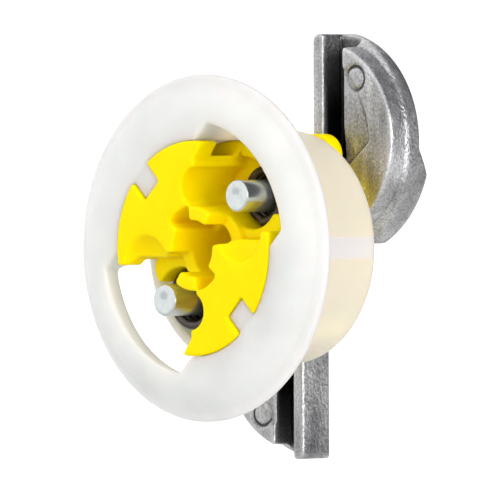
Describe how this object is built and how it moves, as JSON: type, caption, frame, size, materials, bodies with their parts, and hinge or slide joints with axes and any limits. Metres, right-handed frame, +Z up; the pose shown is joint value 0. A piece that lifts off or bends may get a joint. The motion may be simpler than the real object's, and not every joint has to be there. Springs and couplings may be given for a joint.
{
  "type": "swing-wing plasterboard fixing",
  "caption": "Hollow-wall fixing: a translucent flanged collar guides a sliding yellow core that carries sprung cast-metal wings on steel pins.",
  "frame": {"origin": "on the axis of the hole, in the plane of the flange's flat rear face, which is the wall's face", "axes": "+Y into the wall along the hole, +X right and +Z up for somebody looking at the wall"},
  "size_m": [0.022, 0.0147, 0.0274],
  "materials": {
    "collar_plastic": "satin translucent natural nylon",
    "core_plastic": "satin moulded yellow nylon",
    "cast_metal": "as-cast zinc alloy, streaked, edges worn bright",
    "plated_steel": "bright zinc plating",
    "spring_steel": "dark oiled spring wire"
  },
  "bodies": {
    "collar_body": {"collar": "collar_plastic"},
    "core_body": {"core": "core_plastic", "spring_upper": "spring_steel", "spring_lower": "spring_steel"},
    "wing_upper_body": {"wing_upper": "cast_metal", "pin_upper": "plated_steel"},
    "wing_lower_body": {"wing_lower": "cast_metal", "pin_lower": "plated_steel"}
  },
  "joints": [
    {"name": "core_slide", "type": "slide", "parent": "collar_body", "child": "core_body", "axis": [0, 1, 0], "range_m": [0, 0.006]},
    {"name": "wing_upper_hinge", "type": "hinge", "parent": "core_body", "child": "wing_upper_body", "pos_m": [0.00327, 0.009, 0.00332], "axis": [0, -1, 0], "range_deg": [0, 95], "stiffness_Nm_per_rad": 0.002, "springref_deg": -28.65},
    {"name": "wing_lower_hinge", "type": "hinge", "parent": "core_body", "child": "wing_lower_body", "pos_m": [-0.00327, 0.009, -0.00332], "axis": [0, -1, 0], "range_deg": [0, 95], "stiffness_Nm_per_rad": 0.002, "springref_deg": -28.65}
  ]
}
